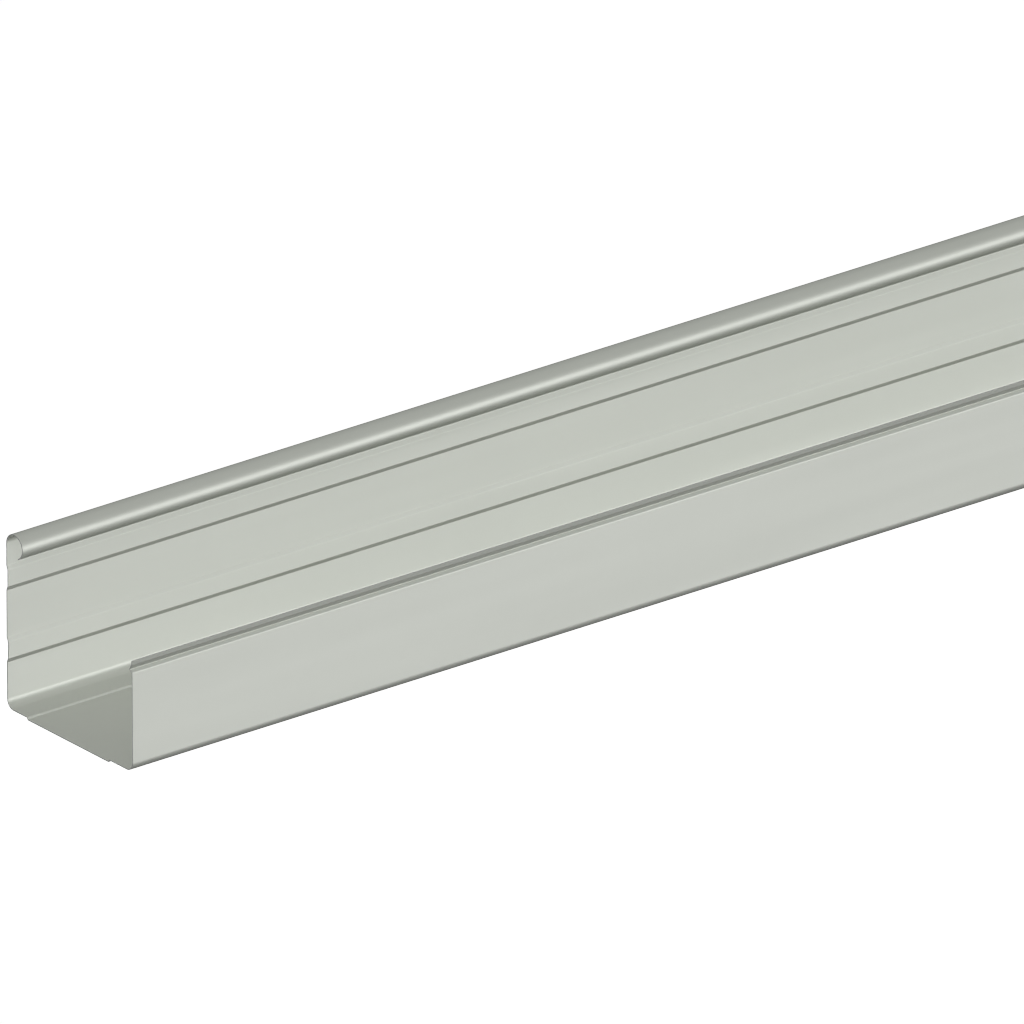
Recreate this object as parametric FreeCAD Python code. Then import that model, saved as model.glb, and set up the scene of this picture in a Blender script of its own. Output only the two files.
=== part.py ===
import FreeCAD, Part
import math
import os

# One length of high-front rain gutter, roll-formed from a single painted steel sheet.
# Millimetres. X runs along the length, +Y is the high front wall with its rolled bead,
# -Y is the low back wall that stands against the fascia, and +Z is up.
# The origin is at the middle of the length and width, on the underside of the sole.

# Stock
stock_length = 2400.0
sheet_thickness = 0.6

# Overall section, measured on the outside faces
gutter_width = 125.0
front_height = 118.5
back_height = 75.1

# Bead along the top of the front wall, rolled inwards and left open underneath
bead_diameter = 16.3
bead_turn = 243.0

# Sole: a wide middle panel pressed down below a narrow strip along each wall
panel_drop = 1.4
front_strip = 19.6
back_strip = 23.2
step_run = 0.8

# Two bands pressed inwards along the front wall
lower_band_foot = 31.6
upper_band_foot = 79.3
band_height = 16.4
band_slope = 2.75
band_depth = 1.1

# Groove and lip along the top of the back wall
lip_height = 2.85
lip_setback = 0.65
groove_depth = 2.5
groove_fall = 3.4
shoulder_rise = 1.2

# Inside radii of the bends
corner_radius = 5.5
band_radius = 0.3
step_radius = 0.5
shoulder_radius = 1.0
valley_radius = 0.3
lip_radius = 0.7


def at(section_point):
    """Place a section point, given as distance from the front face and height, in space."""
    distance, height = section_point
    return FreeCAD.Vector(-stock_length / 2, gutter_width / 2 - distance, height)


def unit(start, end):
    """Unit direction from one section point to the next."""
    run = end[0] - start[0]
    rise = end[1] - start[1]
    length = math.hypot(run, rise)
    return (run / length, rise / length)


def front_band(foot):
    """Corners of one pressed band, from its top edge down to its foot."""
    top = foot + band_height
    return [
        (0.0, top, band_radius),
        (band_depth, top - band_slope, band_radius),
        (band_depth, foot + band_slope, band_radius),
        (0.0, foot, band_radius),
    ]


def sole_corners():
    """Corners of the sole, from the front wall across to the back wall."""
    panel_back = gutter_width - back_strip
    return [
        (0.0, panel_drop, corner_radius),
        (front_strip, panel_drop, step_radius),
        (front_strip + step_run, 0.0, step_radius),
        (panel_back - step_run, 0.0, step_radius),
        (panel_back, panel_drop, step_radius),
        (gutter_width, panel_drop, corner_radius),
    ]


def back_edge_corners():
    """Corners of the groove under the back lip, from the wall upwards."""
    lip_foot = back_height - lip_height
    valley = lip_foot - groove_fall
    return [
        (gutter_width, valley - shoulder_rise, shoulder_radius),
        (gutter_width - groove_depth, valley, valley_radius),
        (gutter_width - lip_setback, lip_foot, lip_radius),
    ]


def face_path(start, corners, end, offset):
    """Edges of one face of the sheet, with its end points.

    The corners lie on the outside face. The other face lies to the left of the path by
    offset, and each bend is an arc that shares its centre with the other face's arc.
    """
    stations = [start] + [(c[0], c[1]) for c in corners] + [end]
    first = unit(stations[0], stations[1])
    last = unit(stations[-2], stations[-1])
    begin = (start[0] - offset * first[1], start[1] + offset * first[0])
    finish = (end[0] - offset * last[1], end[1] + offset * last[0])
    edges = []
    here = begin
    for index, corner in enumerate(corners):
        before = unit(stations[index], stations[index + 1])
        after = unit(stations[index + 1], stations[index + 2])
        cross = before[0] * after[1] - before[1] * after[0]
        dot = before[0] * after[0] + before[1] * after[1]
        half_turn = math.atan2(abs(cross), dot) / 2
        side = 1.0 if cross > 0 else -1.0
        radius = corner[2] + (sheet_thickness - offset if cross > 0 else offset)
        shift = offset / (1 + dot)
        vertex = (
            corner[0] - shift * (before[1] + after[1]),
            corner[1] + shift * (before[0] + after[0]),
        )
        reach = radius * math.tan(half_turn)
        arc_start = (vertex[0] - reach * before[0], vertex[1] - reach * before[1])
        arc_end = (vertex[0] + reach * after[0], vertex[1] + reach * after[1])
        centre = (
            arc_start[0] - side * radius * before[1],
            arc_start[1] + side * radius * before[0],
        )
        to_vertex = unit(centre, vertex)
        arc_middle = (centre[0] + radius * to_vertex[0], centre[1] + radius * to_vertex[1])
        edges.append(Part.LineSegment(at(here), at(arc_start)).toShape())
        edges.append(Part.Arc(at(arc_start), at(arc_middle), at(arc_end)).toShape())
        here = arc_end
    edges.append(Part.LineSegment(at(here), at(finish)).toShape())
    return edges, begin, finish


def bead_arc(centre, radius):
    """One face of the rolled bead, from its free end over the top to the front wall."""
    free_end = math.radians(180 - bead_turn)
    middle = math.radians(180 - bead_turn / 2)
    points = [
        (centre[0] + radius * math.cos(angle), centre[1] + radius * math.sin(angle))
        for angle in (free_end, middle, math.pi)
    ]
    arc = Part.Arc(at(points[0]), at(points[1]), at(points[2])).toShape()
    return arc, points[0]


def make_gutter_section():
    """The whole sheet: its section between outside and inside faces, drawn out in length."""
    bead_radius = bead_diameter / 2
    bead_centre = (bead_radius, front_height - bead_radius)
    outer_arc, outer_free_end = bead_arc(bead_centre, bead_radius)
    inner_arc, inner_free_end = bead_arc(bead_centre, bead_radius - sheet_thickness)
    corners = (
        front_band(upper_band_foot)
        + front_band(lower_band_foot)
        + sole_corners()
        + back_edge_corners()
    )
    wall_top = (0.0, bead_centre[1])
    lip_top = (gutter_width, back_height)
    outside, _, outside_top = face_path(wall_top, corners, lip_top, 0.0)
    inside, _, inside_top = face_path(wall_top, corners, lip_top, sheet_thickness)
    free_edge = Part.LineSegment(at(inner_free_end), at(outer_free_end)).toShape()
    lip_edge = Part.LineSegment(at(outside_top), at(inside_top)).toShape()
    loop = [outer_arc] + outside + [lip_edge] + inside[::-1] + [inner_arc, free_edge]
    section = Part.Face(Part.Wire(loop))
    return section.extrude(FreeCAD.Vector(stock_length, 0, 0))


os.makedirs("parts", exist_ok=True)
gutter_section = make_gutter_section()
print("gutter_section valid", gutter_section.isValid(), "solids", len(gutter_section.Solids))
print("volume cm3", round(gutter_section.Volume / 1000, 2), "box", gutter_section.BoundBox)
gutter_section.exportStep("parts/gutter_section.step")
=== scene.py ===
# %% [markdown]
# A length of rain gutter. The real object is one strip of painted steel sheet that a row of rollers
# folds, bend by bend, into a channel with a high front wall, a flat sole and a low back wall.
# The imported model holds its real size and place, so this lesson starts by loading that model as a
# fixed frame. All that follows is in metres: +X runs along the length, +Y is the high front wall and
# +Z is up.

import math

import bmesh
import bpy
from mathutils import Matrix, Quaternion, Vector


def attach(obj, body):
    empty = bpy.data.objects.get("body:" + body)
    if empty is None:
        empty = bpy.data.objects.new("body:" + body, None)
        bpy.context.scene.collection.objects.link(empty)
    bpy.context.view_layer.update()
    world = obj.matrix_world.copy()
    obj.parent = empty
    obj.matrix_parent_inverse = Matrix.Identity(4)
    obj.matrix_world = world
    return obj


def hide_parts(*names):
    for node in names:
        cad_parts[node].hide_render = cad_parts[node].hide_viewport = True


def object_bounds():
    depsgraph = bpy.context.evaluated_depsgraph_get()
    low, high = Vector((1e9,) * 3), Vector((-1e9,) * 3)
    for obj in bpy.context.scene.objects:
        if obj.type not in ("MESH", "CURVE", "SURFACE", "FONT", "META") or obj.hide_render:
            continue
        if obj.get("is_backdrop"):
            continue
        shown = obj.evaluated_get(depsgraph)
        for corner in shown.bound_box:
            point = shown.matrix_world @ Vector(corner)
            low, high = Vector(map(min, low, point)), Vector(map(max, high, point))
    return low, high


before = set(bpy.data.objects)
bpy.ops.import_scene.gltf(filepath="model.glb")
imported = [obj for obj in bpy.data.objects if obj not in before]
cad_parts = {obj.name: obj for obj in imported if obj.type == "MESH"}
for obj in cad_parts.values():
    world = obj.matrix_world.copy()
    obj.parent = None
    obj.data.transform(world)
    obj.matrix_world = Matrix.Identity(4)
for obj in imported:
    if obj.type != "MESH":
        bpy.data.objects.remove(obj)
frame_low, frame_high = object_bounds()
print("frame box", tuple(frame_low), tuple(frame_high))

# %% [markdown]
# The section has few sizes. The overall ones are read from the frame, so that the visible sheet
# always fills the same space. The others, such as the depth of a pressed band, can't be read from a
# box, so each is written here once. A point of the section is given by how far it lies behind the
# front face and how high it is, as a gutter maker would measure it.

# %% Sizes of the section
MM = 0.001
sheet_thickness = 0.6 * MM
gutter_width = frame_high.y - frame_low.y
gutter_length = frame_high.x - frame_low.x
front_height = frame_high.z
back_height = 75.1 * MM
bead_radius = 8.15 * MM
bead_turn = math.radians(243.0)
panel_drop = 1.4 * MM
front_strip = 19.6 * MM
back_strip = 23.2 * MM
step_run = 0.8 * MM
band_feet = (79.3 * MM, 31.6 * MM)
band_height = 16.4 * MM
band_slope = 2.75 * MM
band_depth = 1.1 * MM
lip_height = 2.85 * MM
lip_setback = 0.65 * MM
groove_depth = 2.5 * MM
groove_fall = 3.4 * MM
shoulder_rise = 1.2 * MM

# Inside radii of the bends
corner_radius = 5.5 * MM
band_radius = 0.3 * MM
step_radius = 0.5 * MM
shoulder_radius = 1.0 * MM
valley_radius = 0.3 * MM
lip_radius = 0.7 * MM


def at(behind_front, height):
    """A point of the section at the left end of the gutter."""
    return Vector((frame_low.x, frame_high.y - behind_front, height))


print("section", round(gutter_width / MM, 2), "mm wide", round(front_height / MM, 2), "mm high")

# %% [markdown]
# Rollers bend the strip a little at a time, always about a line that runs along the length. The
# outside face can be listed as the corners between its flats, each with the inside radius of its
# bend. One list from the front wall down, across the sole and up the back wall describes the whole
# sheet except the bead, and each pressed band repeats the same four corners.

# %% Corners of the outside face


def band_corners(foot):
    """The four bends of one pressed band, from its top edge down to its foot."""
    top = foot + band_height
    return [
        (at(0.0, top), band_radius),
        (at(band_depth, top - band_slope), band_radius),
        (at(band_depth, foot + band_slope), band_radius),
        (at(0.0, foot), band_radius),
    ]


def sole_corners():
    """The two wall bends and the steps of the lowered middle panel."""
    panel_back = gutter_width - back_strip
    return [
        (at(0.0, panel_drop), corner_radius),
        (at(front_strip, panel_drop), step_radius),
        (at(front_strip + step_run, 0.0), step_radius),
        (at(panel_back - step_run, 0.0), step_radius),
        (at(panel_back, panel_drop), step_radius),
        (at(gutter_width, panel_drop), corner_radius),
    ]


def back_edge_corners():
    """The groove and the lip along the top of the back wall."""
    lip_foot = back_height - lip_height
    valley = lip_foot - groove_fall
    return [
        (at(gutter_width, valley - shoulder_rise), shoulder_radius),
        (at(gutter_width - groove_depth, valley), valley_radius),
        (at(gutter_width - lip_setback, lip_foot), lip_radius),
    ]


bends = [corner for foot in band_feet for corner in band_corners(foot)]
bends += sole_corners() + back_edge_corners()
print("bends", len(bends), "and the bead")

# %% [markdown]
# A pen that draws the section could place every vertex by hand, but a bend is a turn about an axis,
# and that is what the spin operator does. So the pen is a single vertex: it is extruded along each
# flat and spun round the centre of each bend. Two vertices close to every bend hold the flats flat,
# because smooth shading would otherwise bleed the bend's turn across a whole wall.

# %% A pen that draws flats and bends
ALONG = Vector((1.0, 0.0, 0.0))
hold = 0.12 * MM
arc_step = math.radians(5.0)
fewest_steps = 3


def draw_to(bm, pen, place):
    """Extrudes the pen vertex in a straight line."""
    grown = bmesh.ops.extrude_vert_indiv(bm, verts=[pen])["verts"][0]
    bmesh.ops.translate(bm, verts=[grown], vec=place - grown.co)
    return grown


def draw_round(bm, pen, centre, turn, steps=0):
    """Spins the pen vertex about a line along the gutter."""
    steps = steps or max(fewest_steps, math.ceil(abs(turn) / arc_step))
    made = bmesh.ops.spin(bm, geom=[pen], cent=centre, axis=ALONG, angle=turn, steps=steps)
    return next(part for part in made["geom_last"] if isinstance(part, bmesh.types.BMVert))


def draw_bend(bm, pen, corner, inside_radius, following):
    """Draws up to a corner, round its bend, and a little way past it."""
    before = (corner - pen.co).normalized()
    after = (following - corner).normalized()
    turn = math.atan2(before.cross(after).x, before.dot(after))
    outward = turn > 0.0
    radius = inside_radius if outward else inside_radius + sheet_thickness
    reach = radius * math.tan(abs(turn) / 2.0)
    start = corner - before * reach
    centre = start + ALONG.cross(before) * math.copysign(radius, turn)
    pen = draw_to(bm, pen, start - before * hold)
    pen = draw_to(bm, pen, start)
    pen = draw_round(bm, pen, centre, turn)
    return draw_to(bm, pen, pen.co + after * hold)


print("a bend takes at least", fewest_steps, "steps of up to", round(math.degrees(arc_step), 1), "degrees")

# %% [markdown]
# On the real sheet the section is one unbroken line from the bead's free edge to the lip. It could be
# drawn from one of those ends to the other, but the bead has a single centre and no corners. So the
# pen starts where the front wall meets the bead. It goes down the wall and through the list of bends
# to the lip, and then from the same start round the bead.

# %% Draw the outside face
strip = bmesh.new()
bead_centre = at(bead_radius, front_height - bead_radius)
wall_top = strip.verts.new(at(0.0, bead_centre.z))
pen = draw_to(strip, wall_top, wall_top.co - Vector((0.0, 0.0, hold)))
lip_top = at(gutter_width, back_height)
following_corners = [corner for corner, _ in bends[1:]] + [lip_top]
for (corner, radius), following in zip(bends, following_corners):
    pen = draw_bend(strip, pen, corner, radius, following)
pen = draw_to(strip, pen, lip_top + (pen.co - lip_top).normalized() * hold)
draw_to(strip, pen, lip_top)

bead_hold = hold / bead_radius
pen = draw_round(strip, wall_top, bead_centre, bead_turn - bead_hold)
draw_round(strip, pen, bead_centre, bead_hold, steps=1)
print("section line", len(strip.verts), "vertices")

# %% [markdown]
# The rollers leave the strip straight, so the whole outside face is that line drawn out along the
# gutter. Extruding edges does this in one step for each station. The stations are about 100 mm apart,
# with one close to each cut end, which keeps the long faces flat right up to the rounded cut edge.

# %% Draw the strip out along the gutter
station_count = 24
end_hold = 1.0 * MM
same_place = 1e-6 * MM


def is_across(edge):
    """True for an edge that lies in one section, and not along the gutter."""
    run = edge.verts[1].co - edge.verts[0].co
    return abs(run.x) < same_place


def draw_out(bm, lengths):
    """Extrudes the open line once for each length, in turn."""
    edges = bm.edges[:]
    for length in lengths:
        grown = bmesh.ops.extrude_edge_only(bm, edges=edges)["geom"]
        edges = [part for part in grown if isinstance(part, bmesh.types.BMEdge)]
        edges = [edge for edge in edges if edge.is_boundary and is_across(edge)]
        verts = [part for part in grown if isinstance(part, bmesh.types.BMVert)]
        bmesh.ops.translate(bm, verts=verts, vec=ALONG * length)


even = (gutter_length - 2.0 * end_hold) / station_count
draw_out(strip, [end_hold] + [even] * station_count + [end_hold])
bmesh.ops.recalc_face_normals(strip, faces=strip.faces[:])
sole_face = min(strip.faces, key=lambda face: face.calc_center_median().z)
if sole_face.normal.z > 0.0:
    bmesh.ops.reverse_faces(strip, faces=strip.faces[:])
sole_normal = tuple(round(value) for value in sole_face.normal)
print("outside face", len(strip.faces), "faces, sole normal", sole_normal)

# %% [markdown]
# Sheet metal keeps one thickness through every bend. Solidify does the same: it moves a copy of each
# vertex along its normal, a little further in a bend, and closes the rim. The rim is what the shears
# and the slitting line cut, so its faces get the second material slot. A cut edge is never perfectly
# sharp, so both of its corners are rounded by a very small bevel.

# %% Give the strip its thickness and its cut edges
PAINTED = 0
CUT = 1
cut_rounding = 0.05 * MM
rounding_segments = 2

outside = set(strip.faces)
moved_in = bmesh.ops.solidify(strip, geom=strip.faces[:], thickness=sheet_thickness)["geom"]
inside = {part for part in moved_in if isinstance(part, bmesh.types.BMFace)}
rim = [face for face in strip.faces if face not in outside and face not in inside]
for face in strip.faces:
    face.smooth = True
    face.material_index = PAINTED
for face in rim:
    face.smooth = False
    face.material_index = CUT
rim_edges = [
    edge
    for edge in strip.edges
    if len({face.material_index for face in edge.link_faces}) == 2
]
bmesh.ops.bevel(
    strip,
    geom=rim_edges,
    offset=cut_rounding,
    offset_type="OFFSET",
    segments=rounding_segments,
    profile=0.5,
    affect="EDGES",
    clamp_overlap=False,
    material=-1,
)
open_edges = [edge for edge in strip.edges if not edge.is_manifold]
print("closed sheet", len(strip.faces), "faces, cut faces", len(rim), "open edges", len(open_edges))
cubic_centimetre = (10.0 * MM) ** 3
print("steel in the sheet", round(strip.calc_volume(signed=True) / cubic_centimetre, 1), "cm3")

# %% [markdown]
# Neither paint nor bare steel is ever one flat value: tone and gloss wander a little, and the surface
# has a relief of a few thousandths of a millimetre. Each finish could list every node that it needs,
# but the same few steps come back in both. So each step is a short helper, and a finish then reads as
# a list of what can be seen on the metal. Soft noise mostly stays between 0.3 and 0.7, so that
# stretch is what is spread over a range.

# %% Steps that both finishes share
NOISE_LOW = 0.3
NOISE_HIGH = 0.7


def add_node(tree, kind, settings=None, inputs=None):
    """Adds one shader node with its settings and its fixed input values."""
    node = tree.nodes.new(kind)
    for name, value in (settings or {}).items():
        setattr(node, name, value)
    for name, value in (inputs or {}).items():
        node.inputs[name].default_value = value
    return node


def empty_material(name):
    """A material with a Principled shader that is ready for its patterns."""
    material = bpy.data.materials.new(name)
    material.use_nodes = True
    tree = material.node_tree
    return material, tree, tree.nodes["Principled BSDF"]


def noise(tree, coordinates, waves, detail):
    """Soft noise with so many waves to the metre."""
    node = add_node(tree, "ShaderNodeTexNoise", inputs={"Scale": waves, "Detail": detail})
    tree.links.new(coordinates, node.inputs["Vector"])
    return node.outputs["Fac"]


def between(tree, pattern, low, high):
    """Turns a noise into a value that wanders between two limits."""
    node = add_node(
        tree,
        "ShaderNodeMapRange",
        inputs={"From Min": NOISE_LOW, "From Max": NOISE_HIGH, "To Min": low, "To Max": high},
    )
    tree.links.new(pattern, node.inputs["Value"])
    return node.outputs["Result"]


def between_colours(tree, pattern, first, second):
    """Turns a noise into a colour that wanders between two."""
    node = add_node(tree, "ShaderNodeMix", settings={"data_type": "RGBA"})
    node.inputs["A"].default_value = first
    node.inputs["B"].default_value = second
    tree.links.new(between(tree, pattern, 0.0, 1.0), node.inputs["Factor"])
    return node.outputs["Result"]


def relief(tree, pattern, depth, over=None):
    """Bump of a real depth in metres, laid over an earlier bump."""
    node = add_node(tree, "ShaderNodeBump", inputs={"Strength": 1.0, "Distance": depth})
    tree.links.new(pattern, node.inputs["Height"])
    if over:
        tree.links.new(over, node.inputs["Normal"])
    return node.outputs["Normal"]


print("noise is read from", NOISE_LOW, "to", NOISE_HIGH)

# %% [markdown]
# Factory paint on coil steel is thin, satin and even, with a faint orange peel about a millimetre
# across. The rollers press very fine lines into it that run along the gutter. An image could carry
# this, but noise on the object's own coordinates needs no unwrapping and stays at true scale.
# Squeezing those coordinates along X draws the noise out into the rollers' long lines.

# %% Painted steel
PAINT_DEEP = (0.463, 0.483, 0.437, 1.0)
PAINT_PALE = (0.477, 0.497, 0.450, 1.0)
PAINT_IOR = 1.5
TONE_WAVES = 14.0
GLOSS_WAVES = 120.0
SMOOTHEST_PAINT = 0.505
ROUGHEST_PAINT = 0.535
PEEL_WAVES = 650.0
PEEL_DEPTH = 0.0028 * MM
LINE_WAVES = 800.0
LINE_DEPTH = 0.0012 * MM
ROLLED_OUT = (0.03, 1.0, 1.0)


def painted_steel():
    """Satin factory coating over roll-formed sheet."""
    material, tree, shader = empty_material("painted_steel")
    shader.inputs["IOR"].default_value = PAINT_IOR
    places = add_node(tree, "ShaderNodeTexCoord").outputs["Object"]
    rolled = add_node(tree, "ShaderNodeMapping", inputs={"Scale": ROLLED_OUT})
    tree.links.new(places, rolled.inputs["Vector"])
    lengthwise = rolled.outputs["Vector"]

    tone = noise(tree, places, TONE_WAVES, detail=4.0)
    colour = between_colours(tree, tone, PAINT_DEEP, PAINT_PALE)
    tree.links.new(colour, shader.inputs["Base Color"])

    gloss = noise(tree, lengthwise, GLOSS_WAVES, detail=3.0)
    roughness = between(tree, gloss, SMOOTHEST_PAINT, ROUGHEST_PAINT)
    tree.links.new(roughness, shader.inputs["Roughness"])

    peel = relief(tree, noise(tree, places, PEEL_WAVES, detail=1.0), PEEL_DEPTH)
    lines = relief(tree, noise(tree, lengthwise, LINE_WAVES, detail=2.0), LINE_DEPTH, over=peel)
    tree.links.new(lines, shader.inputs["Normal"])
    return material


paint = painted_steel()
print("paint nodes", len(paint.node_tree.nodes))

# %% [markdown]
# Where the sheet was sheared, no paint covers it, and the grey steel and its zinc show as a line as
# thin as the sheet. It could be left painted, since it is narrow, but a bare edge is what tells the
# eye that this is cut metal. A shear drags fine marks through the thickness, which a short noise
# gives, and the metal is a cooler grey than the paint.

# %% Cut steel
STEEL_DEEP = (0.42, 0.425, 0.43, 1.0)
STEEL_PALE = (0.56, 0.565, 0.57, 1.0)
STEEL_METALLIC = 0.6
SMOOTHEST_STEEL = 0.38
ROUGHEST_STEEL = 0.52
SHEAR_WAVES = 2600.0
SHEAR_DEPTH = 0.004 * MM


def cut_steel():
    """Bare sheared edge of zinc-coated sheet."""
    material, tree, shader = empty_material("cut_steel")
    shader.inputs["Metallic"].default_value = STEEL_METALLIC
    places = add_node(tree, "ShaderNodeTexCoord").outputs["Object"]
    marks = noise(tree, places, SHEAR_WAVES, detail=2.0)
    colour = between_colours(tree, marks, STEEL_DEEP, STEEL_PALE)
    tree.links.new(colour, shader.inputs["Base Color"])
    roughness = between(tree, marks, SMOOTHEST_STEEL, ROUGHEST_STEEL)
    tree.links.new(roughness, shader.inputs["Roughness"])
    tree.links.new(relief(tree, marks, SHEAR_DEPTH), shader.inputs["Normal"])
    return material


bare_edge = cut_steel()
print("cut steel nodes", len(bare_edge.node_tree.nodes))

# %% [markdown]
# The finished strip becomes one object. The imported solid could be shown itself, but smooth shading
# would bleed its bends across the flats, and its cut edges are sharp. So the strip stands for it,
# rides on the same body, and takes the painted steel and cut steel finishes made above. Its object
# stays at the origin, because its place is in its vertices, as the imported solid's is.

# %% Make the sheet an object


def as_piece(name, bm, finishes):
    """Turns a finished bmesh into an object with its materials, in slot order."""
    mesh = bpy.data.meshes.new(name)
    bm.to_mesh(mesh)
    bm.free()
    for finish in finishes:
        mesh.materials.append(finish)
    piece = bpy.data.objects.new(name, mesh)
    bpy.context.scene.collection.objects.link(piece)
    return piece


gutter_sheet = as_piece("gutter_sheet", strip, [paint, bare_edge])
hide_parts("gutter_section")
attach(gutter_sheet, "root")
print("gutter_sheet", len(gutter_sheet.data.vertices), "vertices")

# %% [markdown]
# The gutter lies on a plain pale floor. The floor is one flat face, a hair below the sole so that the
# two never share a plane. The light alone would leave it grey beside the white background, so it also
# glows, just enough for the two to be equally white, as in a product picture. The floor is part of
# the stage and not of the gutter, and it neither lights nor shades the gutter.

# %% The floor
WHITE = (1.0, 1.0, 1.0, 1.0)
FLOOR_TONE = (0.9, 0.9, 0.9, 1.0)
FLOOR_GLOW = 0.425
floor_reach = 40.0
floor_gap = 0.2 * MM


def pale_floor():
    """Matt white ground."""
    material, _, shader = empty_material("pale_floor")
    shader.inputs["Base Color"].default_value = FLOOR_TONE
    shader.inputs["Roughness"].default_value = 1.0
    shader.inputs["Specular IOR Level"].default_value = 0.0
    shader.inputs["Emission Color"].default_value = WHITE
    shader.inputs["Emission Strength"].default_value = FLOOR_GLOW
    return material


ground = bmesh.new()
bmesh.ops.create_grid(ground, x_segments=1, y_segments=1, size=floor_reach)
bmesh.ops.translate(ground, verts=ground.verts[:], vec=(0.0, 0.0, -floor_gap))
floor = as_piece("floor", ground, [pale_floor()])
floor.visible_diffuse = False
floor.visible_glossy = False
floor.visible_shadow = False
floor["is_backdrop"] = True
print("floor", 2 * floor_reach, "m wide")

# %% [markdown]
# A high lamp on the low wall's side models the bends, and two low lamps on that side act on the gloss
# alone, which gives the satin paint its sheen. Lamps could stand close by, as in a studio, but very
# distant ones, which is what sun lamps are, light the whole length alike, so a wall has one tone from
# end to end. Their angle makes them as soft as large diffusers. The lamps on the low wall's side cast
# no shadows, or the low wall would darken the channel. The one in front lights the outside of the
# high wall, and that wall's own shadow keeps it out of the channel.

# %% Lamps
SOFTNESS = math.radians(30.0)
TOWARD_HIGH_LAMP = (-0.30, -0.533, 0.791)
HIGH_STRENGTH = 1.58
TOWARD_SHEEN_LAMP = (0.5624, -0.818, -0.120)
SHEEN_STRENGTH = 8.5
SHEEN_TINT = (0.974, 1.0, 0.940)
TOWARD_FRONT_LAMP = (0.20, 0.91, -0.36)
FRONT_STRENGTH = 2.6


def soft_lamp(name, toward, strength, shadow=False):
    """A broad, distant lamp in the direction given."""
    lamp = bpy.data.lights.new(name, "SUN")
    lamp.energy = strength
    lamp.angle = SOFTNESS
    lamp.use_shadow = shadow
    holder = bpy.data.objects.new(name, lamp)
    holder.rotation_mode = "QUATERNION"
    holder.rotation_quaternion = Vector(toward).to_track_quat("Z", "Y")
    bpy.context.scene.collection.objects.link(holder)
    return holder


def sheen_lamp(name, side):
    """One of the two low lamps, which shows only as a sheen on the paint."""
    sideways, outward, upward = TOWARD_SHEEN_LAMP
    holder = soft_lamp(name, (side * sideways, outward, upward), SHEEN_STRENGTH)
    holder.data.color = SHEEN_TINT
    holder.visible_diffuse = False


soft_lamp("high_lamp", TOWARD_HIGH_LAMP, HIGH_STRENGTH)
sheen_lamp("sheen_lamp_right", side=1.0)
sheen_lamp("sheen_lamp_left", side=-1.0)
soft_lamp("front_lamp", TOWARD_FRONT_LAMP, FRONT_STRENGTH, shadow=True)
print("lamps", [lamp.name for lamp in bpy.data.lights])

# %% [markdown]
# Even light from all round fills the channel. It is much dimmer than the white that shows behind the
# gutter, so the world has two backgrounds: one for the rays that come straight from the camera, and
# one for all the others. A white wall behind the gutter could do the same, but from one side only.

# %% The surround
FILL = 0.255
BACKDROP = 1.01


def studio_world():
    """White to the camera, and a dim even light to everything else."""
    world = bpy.data.worlds.new("studio")
    world.use_nodes = True
    tree = world.node_tree
    fill = tree.nodes["Background"]
    fill.inputs["Color"].default_value = WHITE
    fill.inputs["Strength"].default_value = FILL
    backdrop = add_node(
        tree,
        "ShaderNodeBackground",
        inputs={"Color": WHITE, "Strength": BACKDROP},
    )
    ray = add_node(tree, "ShaderNodeLightPath")
    choice = add_node(tree, "ShaderNodeMixShader")
    tree.links.new(ray.outputs["Is Camera Ray"], choice.inputs["Fac"])
    tree.links.new(fill.outputs["Background"], choice.inputs[1])
    tree.links.new(backdrop.outputs["Background"], choice.inputs[2])
    tree.links.new(choice.outputs["Shader"], tree.nodes["World Output"].inputs["Surface"])
    return world


bpy.context.scene.world = studio_world()
bpy.context.scene.view_settings.view_transform = "Standard"
print("fill", FILL, "and backdrop", BACKDROP)

# %% [markdown]
# In the picture every line along the gutter is parallel, so the camera has no perspective. Its angles
# were worked out from the slopes of the lines along and across the gutter. It is placed so that the
# bottom corner of the front wall's cut end falls on the same pixel as in the picture. A box filter
# keeps to each pixel's own square, so that a line as thin as a pressed bend stays crisp.

# %% Camera
PICTURE_SIDE = 1024.0
PIXELS_PER_METRE = 1649.4
CORNER_PIXEL = (7.18, 709.55)
azimuth = math.radians(-37.43)
elevation = math.radians(23.747)
roll = math.radians(-0.35)
stand_off = 3.2

back = Vector((
    math.sin(azimuth) * math.cos(elevation),
    -math.cos(azimuth) * math.cos(elevation),
    math.sin(elevation),
))
turned = (-back).to_track_quat("-Z", "Y") @ Quaternion((0.0, 0.0, 1.0), roll)
right = turned @ Vector((1.0, 0.0, 0.0))
up = turned @ Vector((0.0, 1.0, 0.0))
middle = at(0.0, 0.0)
middle += right * (PICTURE_SIDE / 2.0 - CORNER_PIXEL[0]) / PIXELS_PER_METRE
middle += up * (CORNER_PIXEL[1] - PICTURE_SIDE / 2.0) / PIXELS_PER_METRE

lens = bpy.data.cameras.new("camera")
lens.type = "ORTHO"
lens.ortho_scale = PICTURE_SIDE / PIXELS_PER_METRE
camera = bpy.data.objects.new("camera", lens)
camera.rotation_mode = "QUATERNION"
camera.rotation_quaternion = turned
camera.location = middle + back * stand_off
bpy.context.scene.collection.objects.link(camera)
bpy.context.scene.camera = camera
bpy.context.scene.cycles.pixel_filter_type = "BOX"
print("camera looks at", tuple(round(value, 3) for value in middle))

# %% [markdown]
# Last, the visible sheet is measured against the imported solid.

# %% Compare the boxes and finish
seen_low, seen_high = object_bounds()
past_the_frame = [
    max(frame_low[axis] - seen_low[axis], seen_high[axis] - frame_high[axis])
    for axis in range(3)
]
print("furthest past the frame box", round(max(past_the_frame) / MM, 4), "mm")
